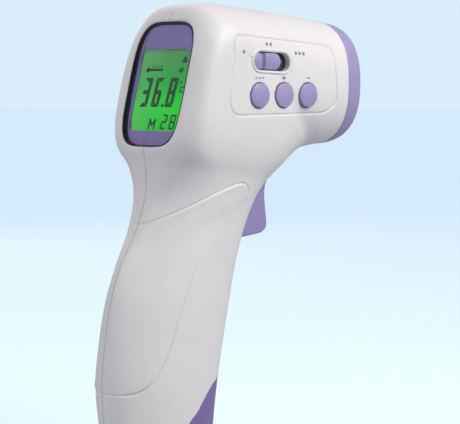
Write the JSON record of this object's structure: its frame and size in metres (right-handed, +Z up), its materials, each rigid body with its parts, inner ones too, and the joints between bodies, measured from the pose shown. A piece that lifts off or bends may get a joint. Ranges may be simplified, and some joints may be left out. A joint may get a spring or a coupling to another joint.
{
  "type": "digital thermometer",
  "caption": "Pistol-shaped non-contact digital thermometer with a tilted rear display, side keys, a nose sensor, a trigger and a hinged battery cover.",
  "frame": {"origin": "centre of the grip's flat base on the seam plane", "axes": "+X towards the nose, +Y to the user's left, +Z up the grip"},
  "size_m": [0.0962, 0.0441, 0.1502],
  "materials": {
    "abs_ivory": "matte",
    "abs_lilac": "satin",
    "abs_violet": "satin",
    "abs_black": "matte",
    "lens_clear": "gloss",
    "lens_print": "satin",
    "lcd_glass": "gloss",
    "light_guide": "gloss",
    "abs_white": "satin",
    "rubber_black": "matte",
    "pcb_green": "satin",
    "epoxy_black": "matte",
    "steel": "satin",
    "nickel": "polished",
    "filter_dark": "polished",
    "cell_jacket": "gloss",
    "wire": "satin"
  },
  "bodies": {
    "housing": {"right_shell": "abs_ivory", "left_shell": "abs_ivory", "nose_ring": "abs_lilac", "sensor_hood": "abs_black", "sensor_holder": "abs_black", "ir_sensor": "nickel", "sensor_filter": "filter_dark", "sensor_board": "pcb_green", "window_gasket": "rubber_black", "display_lens": "lens_clear", "display_mask": "lens_print", "lcd_panel": "lcd_glass", "lcd_backlight": "light_guide", "lcd_frame": "abs_white", "lcd_connector": "rubber_black", "main_board": "pcb_green", "main_chip": "epoxy_black", "buzzer": "abs_black", "key_board": "pcb_green", "key_switches": "abs_black", "selector_switch": "steel", "board_screws": "steel", "shell_screws": "steel", "trigger_pin": "steel", "trigger_spring": "steel", "trigger_board": "pcb_green", "trigger_switch": "abs_black", "battery_tray": "abs_white", "battery_cells": "cell_jacket", "contact_springs": "nickel", "contact_tabs": "nickel", "battery_leads": "wire", "sensor_leads": "wire", "cover_pin": "steel"},
    "mode": {"mode_button": "abs_lilac"},
    "plus": {"plus_button": "abs_lilac"},
    "minus": {"minus_button": "abs_lilac"},
    "selector": {"selector_knob": "abs_lilac", "selector_slide": "abs_black"},
    "trigger_lever": {"trigger": "abs_lilac"},
    "plunger": {"trigger_plunger": "abs_white"},
    "cover": {"battery_cover": "abs_violet"}
  },
  "joints": [
    {"name": "mode_press", "type": "slide", "parent": "housing", "child": "mode", "axis": [0, 1, 0], "range_m": [0, 0.0006], "stiffness_N_per_m": 400},
    {"name": "plus_press", "type": "slide", "parent": "housing", "child": "plus", "axis": [0, 1, 0], "range_m": [0, 0.0006], "stiffness_N_per_m": 400},
    {"name": "minus_press", "type": "slide", "parent": "housing", "child": "minus", "axis": [0, 1, 0], "range_m": [0, 0.0006], "stiffness_N_per_m": 400},
    {"name": "selector_slide", "type": "slide", "parent": "housing", "child": "selector", "axis": [0.9991, 0, -0.0419], "range_m": [0, 0.0038]},
    {"name": "trigger_pull", "type": "hinge", "parent": "housing", "child": "trigger_lever", "pos_m": [0.0365, 0, 0.0982], "axis": [0, 1, 0], "range_deg": [0, 7], "stiffness_Nm_per_rad": 0.15, "springref_deg": -8.59, "deforming": ["trigger_spring"]},
    {"name": "plunger_press", "type": "slide", "parent": "housing", "child": "plunger", "axis": [-1, 0, 0], "range_m": [0, 0.0023]},
    {"name": "cover_open", "type": "hinge", "parent": "housing", "child": "cover", "pos_m": [0.0126, 0, 0.0078], "axis": [0, 1, 0], "range_deg": [0, 78]}
  ],
  "couplings": [
    {"joint": "plunger_press", "follows": "trigger_pull", "m_per_rad": 0.0182}
  ]
}
